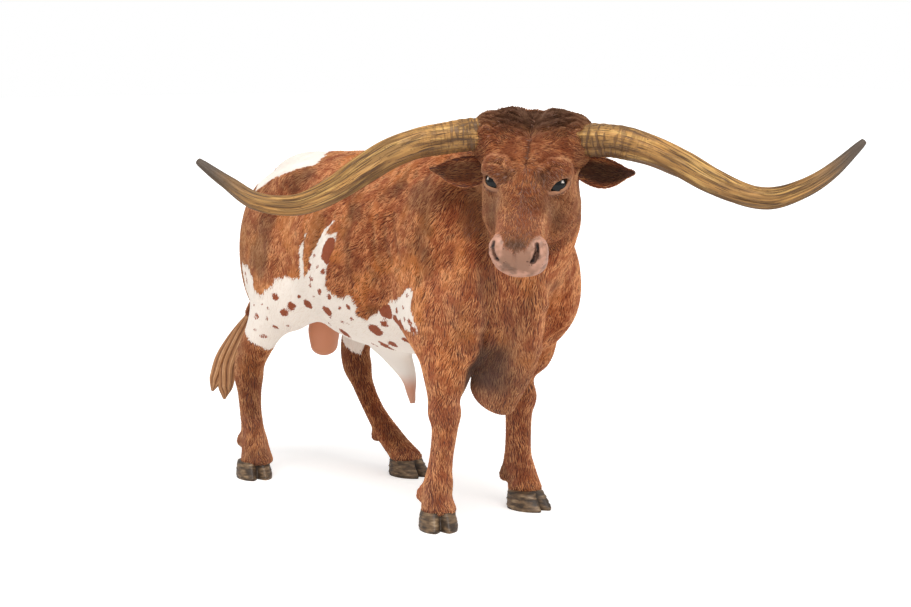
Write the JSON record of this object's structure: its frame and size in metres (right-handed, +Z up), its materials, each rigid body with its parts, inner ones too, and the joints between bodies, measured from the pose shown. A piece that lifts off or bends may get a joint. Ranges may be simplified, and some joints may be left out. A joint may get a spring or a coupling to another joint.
{
  "type": "toy bull figurine, longhorn",
  "caption": "Moulded plastic figurine of a standing longhorn bull, head turned to its right, with wide sweeping horns, brisket flap and hanging tail.",
  "frame": {"origin": "On the floor, under the middle of the whole figure's box.", "axes": "+Z up. The bull faces -Y with its head turned towards -X, and its left side is +X."},
  "size_m": [0.0856, 0.162, 0.0847],
  "materials": {
    "coat": "painted chestnut brown over carved hair",
    "white_coat": "painted white",
    "pink_skin": "painted pinkish skin, slightly satin",
    "horn": "painted tan with dark streaks, satin",
    "eye": "painted black, glossy",
    "tail_hair": "painted golden tan",
    "hoof": "painted grey-brown"
  },
  "bodies": {
    "root": {"torso": "coat", "neck": "coat", "brisket": "coat", "head": "coat", "leg_front_right": "coat", "leg_front_left": "coat", "leg_hind_right": "coat", "leg_hind_left": "coat", "ear_left": "coat", "ear_right": "coat", "tail": "coat", "muzzle": "pink_skin", "scrotum": "pink_skin", "sheath": "white_coat", "horn_left": "horn", "horn_right": "horn", "eye_left": "eye", "eye_right": "eye", "tail_switch": "tail_hair", "hoof_front_right": "hoof", "hoof_front_left": "hoof", "hoof_hind_right": "hoof", "hoof_hind_left": "hoof"}
  },
  "joints": []
}
